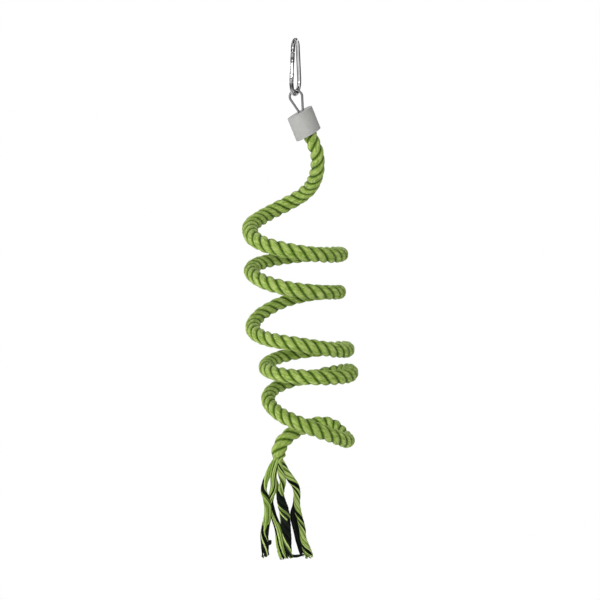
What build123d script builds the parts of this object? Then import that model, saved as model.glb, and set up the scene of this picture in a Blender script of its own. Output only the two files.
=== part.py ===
# Hanging spiral perch: snap hook, wire eye, end cap, wire-cored rope spiral and tassel.
# Millimetres. The origin is the inside crown of the hook's top bend, where it hangs. +Z is up.
# The hook lies in the YZ plane with its gate on the -Y side. The eye, cap and spiral share a side axis
# that is turned about Z from +X.
from build123d import *
import os
from math import acos, asin, cos, pi, radians, sin, sqrt, tan

os.makedirs("parts", exist_ok=True)

# Fits that several pieces share
PIN_CLEARANCE = 0.08
SEAT_CLEARANCE = 0.1
SLOT_CLEARANCE = 0.3
SWING_CLEARANCE = 0.3
OVERRUN = 1.0

# Snap hook frame: a bent round rod
ROD_DIAMETER = 3.6
HOOK_LENGTH = 50.0
HOOK_TOP_RADIUS = 6.6
HOOK_BOTTOM_RADIUS = 10.8
NOSE_LENGTH = 4.0
TONGUE_LIP = 0.7
TONGUE_WIDTH = 3.3
TONGUE_THICKNESS = 1.4
NOTCH_CLEARANCE = 0.4
HINGE_RISE = 1.0
TANG_WIDTH = 3.1
TANG_THICKNESS = 1.4
ROOT_LENGTH = 1.2

# Snap hook gate with its rivet, latch pin, plunger and spring
GATE_DIAMETER = 3.6
GATE_SHANK_DIAMETER = 3.0
GATE_STEP_LENGTH = 0.8
GATE_CHAMFER = 0.4
GATE_END_GAP = 0.5
LATCH_PIN_DIAMETER = 1.2
RIVET_DIAMETER = 1.4
PLUNGER_DIAMETER = 1.5
PLUNGER_STANDOUT = 1.0
SPRING_DIAMETER = 1.4
SPRING_WIRE_DIAMETER = 0.25
SPRING_PITCH = 0.75
# Lengths and places along the gate, as shares of its length from the hinge to its tip
GATE_HEAD_SHARE = 0.34
GATE_FOOT_SHARE = 0.245
LATCH_PLACE_SHARE = 0.81
PLUNGER_SHARE = 0.17
SPRING_ROOM_SHARE = 0.23

# Wire eye: a round loop under the hook's lower bend, with two straight legs down into the cap
EYE_WIRE_DIAMETER = 2.0
EYE_WIDTH = 12.6
EYE_LENGTH = 16.0
EYE_TILT = 12.8
LEG_GAP = 0.3
# How far the left and the right leg stand out from their seats at the cap's top face
LEFT_LEG_FLARE = 0.2
RIGHT_LEG_FLARE = 0.8
MOUTH_CLEARANCE = 0.5
LEG_SEAT_LENGTH = 3.8

# Crimp sleeve: joins the eye's legs to the core wire inside the cap
SLEEVE_DIAMETER = 8.0
SLEEVE_LENGTH = 8.0
SLEEVE_WEB = 0.8

# End cap: a thick tube whose two ends are cut a little off square
CAP_DIAMETER = 23.6
CAP_HEIGHT = 21.1
CAP_TOP_THICKNESS = 3.0
CAP_EDGE_RADIUS = 0.7
CAP_TILT = 21.9
CAP_END_SLANT = 7.2

# Rope and core wire
ROPE_DIAMETER = 12.0
CORE_WIRE_DIAMETER = 2.0
CORE_CLEARANCE = 0.2
ROPE_SEAT_CLEARANCE = 0.2
ROPE_EXIT_LENGTH = 1.0
# The rope, the sleeve and the legs sit off the cap's centre, towards the side that the spiral starts from
ROPE_OFFSET = 1.1

# Spiral: its side axis is turned about Z from +X, and it descends from the cap's top face
SPIRAL_DIAMETER = 80.0
SPIRAL_DROP = 102.4
SPIRAL_HEIGHT = 187.0
SPIRAL_TURN = 18.0
# Side place of each bend, left and right in turn, as a share of the diameter
BEND_SIDE_SHARES = [-0.498, 0.507, -0.482, 0.475, -0.469, 0.566, -0.327, 0.606, -0.310, 0.571]
# Depth of each quarter turn below the spiral's top, as a share of the height
LEVEL_SHARES = [0.008, 0.073, 0.117, 0.158, 0.191, 0.247, 0.292, 0.357, 0.459, 0.500,
                0.564, 0.619, 0.647, 0.656, 0.674, 0.747, 0.797, 0.894, 0.999]
# The lead-in bulges to the side, then joins the spiral at its back: side and away as shares of
# the diameter, and depth as a share of the drop or of the height
BULGE_SHARES = (0.243, 0.06)
BULGE_DROP_SHARE = 0.405
BULGE_HEADING_SHARES = (0.0, 0.45, -0.89)
JOIN_SHARES = (-0.075, 0.50)
JOIN_LEVEL_SHARE = -0.095
JOIN_HEADING_SHARES = (-1.0, 0.0, -0.50)
# The lead-out passes behind the last front turn and ends pointing down
BACK_SHARES = (0.222, 0.432)
BACK_LEVEL_SHARE = 0.954
BACK_HEADING_SHARES = (-1.0, 0.0, -0.14)
TAIL_SHARES = (-0.190, 0.288)
TAIL_LEVEL_SHARE = 1.085
TAIL_HEADING_SHARES = (-0.06, -0.10, -1.0)

# The rope's lower end is drawn in to a neck under its binding thread
TAIL_LENGTH = 1.0
TAPER_LENGTH = 3.5
NECK_DIAMETER = 6.2
NECK_LENGTH = 4.5
THREAD_DIAMETER = 0.6
THREAD_PITCH = 1.5
BINDING_TURNS = 2

# Tassel: each strand's route, as side, away and up from the centre of the neck's end
STRAND_DIAMETER = 3.4
STRAND_GAP = 0.3
STRAND_DROP = 0.8
ARC_RUN_SHARE = 0.45
STRAND_ROUTES = [
    [(5.5, -0.5, -5.0), (9.0, -1.0, -10.5), (13.0, -1.5, -16.0), (17.0, -1.5, -21.0),
     (17.5, -1.0, -26.5), (17.0, -0.5, -33.0), (17.0, -0.5, -40.0), (18.5, -1.0, -47.0),
     (20.5, -1.5, -54.0), (22.0, -1.5, -61.0), (22.5, -1.5, -69.0), (25.0, -1.5, -77.0),
     (27.5, -0.5, -84.5)],
    [(5.0, 4.0, -5.5), (9.0, 4.0, -11.0), (13.0, 3.5, -16.0), (16.0, 3.5, -22.0), (17.0, 3.5, -28.0),
     (16.5, 3.5, -34.5), (16.0, 3.5, -40.5), (14.5, 3.0, -46.5), (15.0, 3.0, -52.0), (17.0, 3.0, -58.5),
     (19.0, 3.0, -64.5), (21.0, 3.0, -71.5), (22.0, 3.0, -78.0), (22.5, 3.0, -85.0)],
    [(-3.0, 4.0, -7.0), (-4.0, 4.0, -14.0), (-2.0, 3.5, -20.5), (0.0, 2.5, -25.0), (1.5, 2.0, -31.5),
     (3.0, 1.5, -39.5), (4.0, 1.0, -47.5), (5.0, 1.0, -56.0), (5.0, 1.0, -65.0), (6.0, 1.5, -74.5),
     (7.0, 1.0, -84.0)],
    [(-6.0, -0.5, -4.5), (-9.0, -1.0, -11.5), (-12.0, -1.5, -19.5), (-12.5, -1.0, -25.5),
     (-9.5, -2.5, -32.0), (-8.5, -4.0, -40.0), (-9.0, -4.5, -49.0), (-10.5, -3.5, -57.0),
     (-11.5, -2.5, -65.5), (-11.0, -2.0, -75.0), (-11.0, -1.5, -84.5)],
    [(-2.5, -4.0, -5.0), (-3.5, -4.5, -12.5), (-4.0, -5.0, -21.5), (-4.5, -4.5, -29.5),
     (-3.5, -3.0, -36.5), (-2.0, -2.5, -43.5), (-0.5, -3.0, -50.5), (1.0, -4.0, -58.5),
     (2.0, -5.0, -66.5), (3.0, -5.0, -76.0), (4.5, -4.5, -87.0)],
    [(2.0, -4.0, -5.0), (3.5, -5.0, -11.0), (5.0, -5.5, -16.5), (4.0, -5.5, -22.5), (3.5, -5.5, -28.5),
     (5.0, -6.0, -35.5), (6.5, -5.5, -42.5), (7.5, -5.5, -50.5), (7.5, -5.5, -59.5), (8.5, -5.5, -68.0),
     (9.0, -5.0, -76.0), (10.0, -4.5, -83.5)],
]

QUARTERS = 4
GAP_SAMPLES = 480
PARALLEL_LIMIT = 1e-9
UP = Vector(0, 0, 1)


# Shapes that several pieces use
def post(radius, low, high):
    """Round bar along local Z between two heights."""
    return Pos(0, 0, low) * Cylinder(radius, high - low, align=(Align.CENTER, Align.CENTER, Align.MIN))


def cone(low_radius, high_radius, low, high):
    """Cone along local Z between two heights."""
    align = (Align.CENTER, Align.CENTER, Align.MIN)
    return Pos(0, 0, low) * Cone(low_radius, high_radius, high - low, align=align)


def slab(thickness, width, low, high):
    """Flat bar centred on local Z, with its thickness along local X."""
    return Pos(0, 0, low) * Box(thickness, width, high - low, align=(Align.CENTER, Align.CENTER, Align.MIN))


def cross_bar(radius, length, height):
    """Round bar along local X, centred at a height."""
    return Pos(0, 0, height) * Rot(Y=90) * Cylinder(radius, length)


def tangent_arcs(start, start_way, end, end_way):
    """Two arcs that leave start along start_way and reach end along end_way."""
    chord = end - start
    spread = 2 * (1 - start_way.dot(end_way))
    reach = 2 * chord.dot(start_way + end_way)
    if spread < PARALLEL_LIMIT:
        leg = chord.dot(chord) / reach
    else:
        leg = (sqrt(reach ** 2 + 4 * spread * chord.dot(chord)) - reach) / (2 * spread)
    first_corner = start + start_way * leg
    last_corner = end - end_way * leg
    joint = (first_corner + last_corner) / 2
    joint_way = (last_corner - first_corner).normalized()
    return [TangentArc(start, joint, tangent=start_way), TangentArc(joint, end, tangent=joint_way)]


def smooth_path(stations):
    """Path through places with headings: a line where they agree, otherwise two arcs."""
    edges = []
    for (start, start_way), (end, end_way) in zip(stations, stations[1:]):
        if (end - start).normalized().dot(start_way) > 1 - PARALLEL_LIMIT:
            edges.append(Line(start, end))
        else:
            edges.extend(tangent_arcs(start, start_way, end, end_way))
    return Wire(edges)


def tube(path, diameter, bore=0):
    """Round tube or solid rod along a path."""
    section = Circle(diameter / 2)
    if bore:
        section = section - Circle(bore / 2)
    return sweep(Plane(path @ 0, z_dir=path % 0) * section, path=path)


def print_least_gap(name, path, diameter, turn_length):
    """Prints the least gap between turns, on points at least half a turn apart along the path."""
    places = [path @ (step / GAP_SAMPLES) for step in range(GAP_SAMPLES + 1)]
    apart = int(turn_length / 2 / path.length * GAP_SAMPLES)
    pairs = [(place, other) for step, place in enumerate(places) for other in places[step + apart:]]
    least = min((place - other).length for place, other in pairs)
    print(f"{name}: length {path.length:.1f}, least gap to itself {least - diameter:.2f}")


def coil_stations(frame, radius, pitch, turns, end_length):
    """Quarter-turn stations of a coil that climbs along the frame's Z, with straight ends."""
    rise = pitch / (2 * pi)
    stations = []
    for quarter in range(turns * QUARTERS + 1):
        angle = 2 * pi * quarter / QUARTERS
        place = frame.from_local_coords(Vector(radius * cos(angle), radius * sin(angle), rise * angle))
        way = frame.from_local_coords(Vector(-radius * sin(angle), radius * cos(angle), rise)) - frame.origin
        stations.append((place, way.normalized()))
    first, first_way = stations[0]
    last, last_way = stations[-1]
    return [(first - first_way * end_length, first_way), *stations, (last + last_way * end_length, last_way)]


# Snap hook layout: two bends joined by straight sides that slant a little
rod_radius = ROD_DIAMETER / 2
top_centre = rod_radius - HOOK_TOP_RADIUS
bottom_centre = ROD_DIAMETER + rod_radius - HOOK_LENGTH + HOOK_BOTTOM_RADIUS
side_slant = asin((HOOK_BOTTOM_RADIUS - HOOK_TOP_RADIUS) / (top_centre - bottom_centre))
rod_bottom = Vector(0, 0, bottom_centre - HOOK_BOTTOM_RADIUS)


def hook_side(side, centre, radius):
    """Place where a bend meets a straight side."""
    return Vector(0, side * radius * cos(side_slant), centre + radius * sin(side_slant))


gate_up = Vector(0, sin(side_slant), cos(side_slant))
gate_top_bend = hook_side(-1, top_centre, HOOK_TOP_RADIUS)
gate_low_bend = hook_side(-1, bottom_centre, HOOK_BOTTOM_RADIUS)
hinge_place = gate_low_bend + gate_up * HINGE_RISE
gate_frame = Plane(hinge_place, x_dir=(1, 0, 0), z_dir=gate_up)

# Heights along the gate, from the hinge
gate_radius = GATE_DIAMETER / 2
nose_end = (gate_top_bend - hinge_place).length - NOSE_LENGTH
gate_tip = nose_end - GATE_END_GAP
gate_foot = gate_tip * GATE_FOOT_SHARE
head_start = gate_tip * (1 - GATE_HEAD_SHARE)
latch_height = gate_tip * LATCH_PLACE_SHARE
notch_height = LATCH_PIN_DIAMETER + 2 * NOTCH_CLEARANCE
tongue_end = latch_height - notch_height / 2 - TONGUE_LIP
head_slot_end = tongue_end - 2 * GATE_END_GAP
tang_radius = TANG_WIDTH / 2
fork_end = tang_radius + PLUNGER_STANDOUT
plunger_start = tang_radius + SEAT_CLEARANCE
plunger_end = plunger_start + gate_tip * PLUNGER_SHARE
spring_turns = int(gate_tip * SPRING_ROOM_SHARE / SPRING_PITCH)
spring_start = plunger_end + SEAT_CLEARANCE + SPRING_WIRE_DIAMETER / 2
spring_end = spring_start + SPRING_PITCH * spring_turns
bore_end = spring_end + SPRING_WIRE_DIAMETER / 2 + SEAT_CLEARANCE


def snap_hook_frame():
    nose = gate_frame.from_local_coords(Vector(0, 0, nose_end))
    spine_top = hook_side(1, top_centre, HOOK_TOP_RADIUS)
    spine_low = hook_side(1, bottom_centre, HOOK_BOTTOM_RADIUS)
    crown = Vector(0, 0, top_centre + HOOK_TOP_RADIUS)
    path = Wire([
        Line(nose, gate_top_bend),
        ThreePointArc(gate_top_bend, crown, spine_top),
        Line(spine_top, spine_low),
        ThreePointArc(spine_low, rod_bottom, gate_low_bend),
    ])
    lower_end = -gate_radius - GATE_END_GAP
    foot_room = slab(2 * ROD_DIAMETER, 2 * ROD_DIAMETER, lower_end, nose_end)
    tongue = slab(TONGUE_THICKNESS, TONGUE_WIDTH, tongue_end, nose_end + ROOT_LENGTH)
    notch = slab(TONGUE_THICKNESS + OVERRUN, TONGUE_WIDTH, latch_height - notch_height / 2,
                 latch_height + notch_height / 2)
    notch = Pos(0, TONGUE_WIDTH / 2 - notch_height / 2, 0) * notch
    tang = slab(TANG_THICKNESS, TANG_WIDTH, lower_end - ROOT_LENGTH, 0)
    tang += cross_bar(tang_radius, TANG_THICKNESS, 0)
    tang -= cross_bar(RIVET_DIAMETER / 2 + PIN_CLEARANCE, TANG_THICKNESS + OVERRUN, 0)
    rod = tube(path, ROD_DIAMETER) - gate_frame * foot_room
    return rod + gate_frame * (tongue - notch) + gate_frame * tang


def snap_hook_gate():
    shank_radius = GATE_SHANK_DIAMETER / 2
    foot_step = gate_foot + GATE_STEP_LENGTH
    head_step = head_start - GATE_STEP_LENGTH
    bar = post(gate_radius, 0, gate_foot)
    bar += cone(gate_radius, shank_radius, gate_foot, foot_step)
    bar += post(shank_radius, foot_step, head_step)
    bar += cone(shank_radius, gate_radius, head_step, head_start)
    bar += post(gate_radius, head_start, gate_tip - GATE_CHAMFER)
    bar += cone(gate_radius, gate_radius - GATE_CHAMFER, gate_tip - GATE_CHAMFER, gate_tip)
    bar += post(gate_radius, -gate_radius, 0) & cross_bar(gate_radius, GATE_DIAMETER, 0)
    fork_width = TANG_THICKNESS + 2 * SLOT_CLEARANCE
    head_slot_width = TONGUE_THICKNESS + 2 * SLOT_CLEARANCE
    bar -= slab(fork_width, GATE_DIAMETER + OVERRUN, -gate_radius - OVERRUN, fork_end)
    bar -= slab(head_slot_width, GATE_DIAMETER + OVERRUN, head_slot_end, gate_tip + OVERRUN)
    bar -= post(PLUNGER_DIAMETER / 2 + PIN_CLEARANCE, fork_end - OVERRUN, bore_end)
    bar -= cross_bar(RIVET_DIAMETER / 2 + PIN_CLEARANCE, GATE_DIAMETER + OVERRUN, 0)
    bar -= cross_bar(LATCH_PIN_DIAMETER / 2 + PIN_CLEARANCE, GATE_DIAMETER + OVERRUN, latch_height)
    return gate_frame * bar


def gate_spring():
    frame = gate_frame.offset(spring_start)
    radius = (SPRING_DIAMETER - SPRING_WIRE_DIAMETER) / 2
    path = smooth_path(coil_stations(frame, radius, SPRING_PITCH, spring_turns, SPRING_WIRE_DIAMETER))
    print_least_gap("gate_spring", path, SPRING_WIRE_DIAMETER, 2 * pi * radius)
    return tube(path, SPRING_WIRE_DIAMETER)


# Axes that the eye, the cap and the spiral share
spiral_side = Vector(cos(radians(SPIRAL_TURN)), sin(radians(SPIRAL_TURN)), 0)
spiral_away = Vector(-sin(radians(SPIRAL_TURN)), cos(radians(SPIRAL_TURN)), 0)


def along(side, away, up):
    """Direction or place from its parts along the shared axes."""
    return spiral_side * side + spiral_away * away + UP * up


# Wire eye and cap layout: each has its own axis, tilted towards the shared side
def tilted_axes(tilt):
    """Side and down directions of an axis at a tilt in degrees."""
    lean = radians(tilt)
    return along(cos(lean), 0, sin(lean)), along(sin(lean), 0, -cos(lean))


eye_side, eye_down = tilted_axes(EYE_TILT)
cap_side, cap_down = tilted_axes(CAP_TILT)
cap_top = rod_bottom + eye_down * EYE_LENGTH
cap_frame = Plane(cap_top, x_dir=cap_side, z_dir=-cap_down)

# Depths below the cap's top face, along its axis
leg_offset = (EYE_WIRE_DIAMETER + LEG_GAP) / 2
sleeve_start = CAP_TOP_THICKNESS + SEAT_CLEARANCE
sleeve_end = sleeve_start + SLEEVE_LENGTH
leg_end = sleeve_start + LEG_SEAT_LENGTH
core_start = leg_end + SLEEVE_WEB + 2 * SEAT_CLEARANCE
rope_start = sleeve_end + SEAT_CLEARANCE
rope_top = cap_top + cap_side * ROPE_OFFSET
on_rope_axis = Pos(ROPE_OFFSET, 0, 0)

# Loop of the eye: its crown rests over the hook's rod
crown_rise = rod_radius + SWING_CLEARANCE + EYE_WIRE_DIAMETER / 2
eye_crown = rod_bottom - eye_down * crown_rise
loop_radius = (EYE_WIDTH - EYE_WIRE_DIAMETER) / 2
loop_centre = eye_crown + eye_down * loop_radius


def eye_leg(side, flare):
    """Places and headings down a leg: off the loop at a tangent, to the cap, then along the rope's axis."""
    seat = rope_top + cap_side * (side * leg_offset)
    mouth = seat + cap_side * (side * flare)
    reach = mouth - loop_centre
    out = reach.normalized()
    across = out.cross(spiral_away) * side
    tangent_angle = acos(loop_radius / reach.length)
    touch = loop_centre + (out * cos(tangent_angle) + across * sin(tangent_angle)) * loop_radius
    way = (mouth - touch).normalized()
    return [(touch, way), (mouth, way), (seat + cap_down * sleeve_start, cap_down),
            (seat + cap_down * leg_end, cap_down)]


def wire_eye():
    left_leg = [(place, -way) for place, way in reversed(eye_leg(-1, LEFT_LEG_FLARE))]
    right_leg = eye_leg(1, RIGHT_LEG_FLARE)
    return tube(smooth_path([*left_leg, (eye_crown, eye_side), *right_leg]), EYE_WIRE_DIAMETER)


def crimp_sleeve():
    sleeve = post(SLEEVE_DIAMETER / 2, -sleeve_end, -sleeve_start)
    hole_radius = EYE_WIRE_DIAMETER / 2 + SEAT_CLEARANCE
    hole_end = leg_end + SEAT_CLEARANCE
    for side in (-1, 1):
        sleeve -= Pos(side * leg_offset, 0, 0) * post(hole_radius, -hole_end, -sleeve_start + OVERRUN)
    core_radius = CORE_WIRE_DIAMETER / 2 + SEAT_CLEARANCE
    sleeve -= post(core_radius, -sleeve_end - OVERRUN, -core_start + SEAT_CLEARANCE)
    return cap_frame * (on_rope_axis * sleeve)


def end_cap():
    ends = slab(2 * CAP_DIAMETER, 2 * CAP_DIAMETER, -CAP_HEIGHT * cos(radians(CAP_END_SLANT)), 0)
    cap = post(CAP_DIAMETER / 2, -2 * CAP_HEIGHT, CAP_HEIGHT) & Rot(Y=-CAP_END_SLANT) * ends
    rims = cap.faces().filter_by(GeomType.PLANE).edges()
    cap = fillet(rims, CAP_EDGE_RADIUS)
    leg_hole = leg_offset + EYE_WIRE_DIAMETER / 2 + SEAT_CLEARANCE
    leg_mouth = leg_hole + RIGHT_LEG_FLARE + MOUTH_CLEARANCE
    cap -= on_rope_axis * cone(leg_hole, leg_mouth, -sleeve_start, OVERRUN)
    cap -= on_rope_axis * post(SLEEVE_DIAMETER / 2 + SEAT_CLEARANCE, -rope_start, -CAP_TOP_THICKNESS)
    seat_radius = ROPE_DIAMETER / 2 + ROPE_SEAT_CLEARANCE
    cap -= on_rope_axis * post(seat_radius, -2 * CAP_HEIGHT, -rope_start + SEAT_CLEARANCE)
    return cap_frame * cap


# Spiral layout: half turns are half circles in plan between neighbouring bends
spiral_top = cap_top.Z - SPIRAL_DROP


def spiral_place(shares, level_share):
    """Place from side and away shares of the diameter and a depth share of the height."""
    return along(shares[0] * SPIRAL_DIAMETER, shares[1] * SPIRAL_DIAMETER,
                 spiral_top - level_share * SPIRAL_HEIGHT)


def quarter_places():
    """Places of the quarter turns: left, front, right and back, from the top down."""
    places = []
    for quarter, level_share in enumerate(LEVEL_SHARES):
        half, is_middle = divmod(quarter, 2)
        here = BEND_SIDE_SHARES[half]
        if is_middle:
            beyond = BEND_SIDE_SHARES[half + 1]
            places.append(spiral_place(((here + beyond) / 2, (here - beyond) / 2), level_share))
        else:
            places.append(spiral_place((here, 0), level_share))
    return places


def rope_stations():
    """Places and headings of the rope's centre line, from the cap down to its straight tail."""
    bulge = along(BULGE_SHARES[0] * SPIRAL_DIAMETER, BULGE_SHARES[1] * SPIRAL_DIAMETER,
                  cap_top.Z - BULGE_DROP_SHARE * SPIRAL_DROP)
    join = spiral_place(JOIN_SHARES, JOIN_LEVEL_SHARE)
    back = spiral_place(BACK_SHARES, BACK_LEVEL_SHARE)
    tail = spiral_place(TAIL_SHARES, TAIL_LEVEL_SHARE)
    tail_way = along(*TAIL_HEADING_SHARES).normalized()
    stations = [
        (rope_top + cap_down * rope_start, cap_down),
        (rope_top + cap_down * (CAP_HEIGHT + ROPE_EXIT_LENGTH), cap_down),
        (bulge, along(*BULGE_HEADING_SHARES).normalized()),
        (join, along(*JOIN_HEADING_SHARES).normalized()),
    ]
    places = quarter_places()
    plan_ways = [-spiral_away, spiral_side, spiral_away, -spiral_side]
    for quarter, place in enumerate(places):
        before = places[quarter - 1] if quarter else join
        after = places[quarter + 1] if quarter + 1 < len(places) else back
        slope = (after.Z - before.Z) / ((place - before).length + (after - place).length)
        stations.append((place, (plan_ways[quarter % QUARTERS] + UP * slope).normalized()))
    stations += [
        (back, along(*BACK_HEADING_SHARES).normalized()),
        (tail, tail_way),
        (tail + tail_way * TAIL_LENGTH, tail_way),
    ]
    return stations


stations = rope_stations()
rope_end, rope_end_way = stations[-1]
rope_path = smooth_path(stations)
tail_frame = Plane(rope_end, x_dir=along(1, 0, 0), z_dir=-rope_end_way)
neck_end = rope_end + rope_end_way * (TAPER_LENGTH + NECK_LENGTH)


def rope():
    print_least_gap("rope", rope_path, ROPE_DIAMETER, pi * SPIRAL_DIAMETER)
    bends = [edge.radius for edge in rope_path.edges() if edge.geom_type == GeomType.CIRCLE]
    print(f"rope: least bend radius {min(bends):.1f}")
    body = tube(rope_path, ROPE_DIAMETER, CORE_WIRE_DIAMETER + 2 * CORE_CLEARANCE)
    neck_radius = NECK_DIAMETER / 2
    taper = cone(neck_radius, ROPE_DIAMETER / 2, -TAPER_LENGTH, 0)
    neck = post(neck_radius, -TAPER_LENGTH - NECK_LENGTH, -TAPER_LENGTH)
    return body + tail_frame * (taper + neck)


def core_wire():
    """Wire through the whole rope, from its seat in the sleeve to the end of the tail."""
    inner = stations[:]
    inner[0] = (rope_top + cap_down * core_start, cap_down)
    inner[-1] = (rope_end - rope_end_way * SEAT_CLEARANCE, rope_end_way)
    return tube(smooth_path(inner), CORE_WIRE_DIAMETER)


def tassel_binding():
    radius = (NECK_DIAMETER + THREAD_DIAMETER) / 2 + SEAT_CLEARANCE
    height = THREAD_PITCH * BINDING_TURNS
    frame = tail_frame.offset(-TAPER_LENGTH - (NECK_LENGTH + height) / 2)
    path = smooth_path(coil_stations(frame, radius, THREAD_PITCH, BINDING_TURNS, THREAD_DIAMETER))
    print_least_gap("tassel_binding", path, THREAD_DIAMETER, 2 * pi * radius)
    return tube(path, THREAD_DIAMETER)


def tassel_strand(number):
    """One unlaid bundle of yarn: straight runs joined by the largest arcs that they allow."""
    count = len(STRAND_ROUTES)
    ring_radius = (STRAND_DIAMETER + STRAND_GAP) / (2 * sin(pi / count))
    angle = 2 * pi * number / count
    route = [(ring_radius * cos(angle), ring_radius * sin(angle), -STRAND_DROP), *STRAND_ROUTES[number]]
    points = [neck_end + along(*point) for point in route]
    runs = [after - before for before, after in zip(points, points[1:])]
    radii = []
    for run, following in zip(runs, runs[1:]):
        half_turn = radians(run.get_angle(following)) / 2
        radii.append(ARC_RUN_SHARE * min(run.length, following.length) / tan(half_turn))
    path = FilletPolyline(*points, radius=radii).wire()
    strand = tube(path, STRAND_DIAMETER)
    plain_volume = pi * STRAND_DIAMETER ** 2 / 4 * path.length
    print(f"strand {number + 1}: length {path.length:.1f}, radii {[round(radius) for radius in radii]}, "
          f"volume to section times length {strand.volume / plain_volume:.4f}")
    return strand


parts = {
    "snap_hook_frame": snap_hook_frame(),
    "snap_hook_gate": snap_hook_gate(),
    "gate_hinge_rivet": gate_frame * cross_bar(RIVET_DIAMETER / 2, GATE_DIAMETER, 0),
    "gate_latch_pin": gate_frame * cross_bar(LATCH_PIN_DIAMETER / 2, GATE_DIAMETER, latch_height),
    "gate_plunger": gate_frame * post(PLUNGER_DIAMETER / 2, plunger_start, plunger_end),
    "gate_spring": gate_spring(),
    "wire_eye": wire_eye(),
    "crimp_sleeve": crimp_sleeve(),
    "end_cap": end_cap(),
    "rope": rope(),
    "core_wire": core_wire(),
    "tassel_binding": tassel_binding(),
}
for number in range(len(STRAND_ROUTES)):
    parts[f"tassel_strand_{number + 1}"] = tassel_strand(number)

print(f"hinge {tuple(hinge_place)}, gate up {tuple(gate_up)}")
print(f"rod bottom {tuple(rod_bottom)}, cap top {tuple(cap_top)}")
print(f"rope end {tuple(rope_end)}, neck end {tuple(neck_end)}, tail way {tuple(rope_end_way)}")

for name, shape in parts.items():
    export_step(shape, f"parts/{name}.step")
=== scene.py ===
# Looks of the hanging spiral perch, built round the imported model. Metres, in the model's own frame.
import math
import random

import bpy
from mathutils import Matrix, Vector, noise


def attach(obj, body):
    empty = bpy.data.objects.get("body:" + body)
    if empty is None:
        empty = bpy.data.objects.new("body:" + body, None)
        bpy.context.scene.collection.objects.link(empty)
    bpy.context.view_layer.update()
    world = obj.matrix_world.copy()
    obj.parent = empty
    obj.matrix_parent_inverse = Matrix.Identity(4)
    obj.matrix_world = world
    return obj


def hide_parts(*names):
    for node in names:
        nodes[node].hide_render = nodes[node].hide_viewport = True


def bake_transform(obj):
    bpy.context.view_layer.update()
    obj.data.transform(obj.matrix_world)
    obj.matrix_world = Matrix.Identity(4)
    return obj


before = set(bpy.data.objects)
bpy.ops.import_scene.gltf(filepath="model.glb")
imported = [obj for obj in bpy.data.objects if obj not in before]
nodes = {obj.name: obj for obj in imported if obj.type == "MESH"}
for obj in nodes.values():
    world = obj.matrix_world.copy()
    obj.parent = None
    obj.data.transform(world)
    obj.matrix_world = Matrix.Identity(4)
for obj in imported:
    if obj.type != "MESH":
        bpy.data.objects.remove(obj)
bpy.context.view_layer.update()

# Camera of the photograph: angles in degrees, lens and sensor in millimetres
CAMERA_AZIMUTH = 18
CAMERA_ELEVATION = 10
CAMERA_DISTANCE = 2.5
CAMERA_TARGET = Vector((0.00375, 0.00122, -0.22426))
CAMERA_LENS = 172.4
SENSOR_WIDTH = 36

# Spiral axes: side runs to the photograph's right, away runs from its camera
CAMERA_TURN = math.radians(CAMERA_AZIMUTH)
SIDE = Vector((math.cos(CAMERA_TURN), math.sin(CAMERA_TURN), 0))
AWAY = Vector((-math.sin(CAMERA_TURN), math.cos(CAMERA_TURN), 0))
UP = Vector((0, 0, 1))

# Rope route: near the solid's, and moved by a few millimetres to follow the photograph
SPIRAL_DIAMETER = 0.080
SPIRAL_TOP = -0.1626
SPIRAL_HEIGHT = 0.187
POINTS_PER_QUARTER = 6
ROUTE_RESOLUTION = 16
# Bends to the left and right by turns, as shares of the diameter
BEND_SIDE_SHARES = [-0.490, 0.497, -0.482, 0.475, -0.469, 0.566, -0.327, 0.606, -0.300, 0.571]
# Depth at each quarter turn as a share of the height, then the depths that give the first and last slope
LEVEL_SHARES = [0.006, 0.070, 0.114, 0.158, 0.191, 0.246, 0.292, 0.355, 0.459, 0.499,
                0.564, 0.611, 0.647, 0.656, 0.674, 0.735, 0.797, 0.892, 0.999]
LEVEL_SHARE_BEFORE = -0.095
LEVEL_SHARE_AFTER = 0.954
# Quarter turns at right bends where the rope runs flatter than its neighbours suggest, and its slope there
FLAT_SLOPE_SHARES = {2: 0.030, 10: 0.015, 14: 0.0}
# Lead-in from the cap and lead-out to the neck, as side, away and up
LEAD_IN = [(0.0087, 0.0000, -0.0702), (0.0150, 0.0000, -0.0858), (0.0194, 0.0021, -0.0964),
           (0.0190, 0.0127, -0.1173), (0.0095, 0.0400, -0.1370), (-0.0204, 0.0400, -0.1520),
           (-0.0398, 0.0155, -0.1598)]
LEAD_OUT = [(0.0457, 0.0138, -0.3518), (0.0315, 0.0346, -0.3402), (0.0062, 0.0346, -0.3440),
            (-0.0120, 0.0243, -0.3552), (-0.0157, 0.0229, -0.3660), (-0.0157, 0.0221, -0.3744)]

# Rope: three strands laid right-handed, each of many yarns that twist the other way
ROPE_STRANDS = 3
LAY_LENGTH = 0.027
STRAND_OFFSET = 0.0021
STRAND_RADIUS = 0.0040
YARN_COLUMNS = 24
YARN_RIDGE = 0.00007
YARN_COUNTER_TURN = 1.3
ROPE_STEP = 0.0011
# Unevenness of the strands' thickness and of the lay: size, rate along the rope and row of the noise
ROPE_WOBBLE = 0.00026
WOBBLE_RATE = 55
WOBBLE_ROW = 3.7
LAY_DRIFT = 0.9
LAY_DRIFT_RATE = 14
LAY_DRIFT_ROW = 0.5
# Painted shade: tone in the hollows between strands, what the crests add, and how far out those are at their
# palest
ROPE_HOLLOW_PAINTED_SHADE = -0.28
ROPE_CREST_PAINTED_LIFT = 0.62
ROPE_CREST_SHARE = 0.7
# Distance between neighbouring strands or plies in the pattern of fibres
PATTERN_STEP = 4
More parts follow.
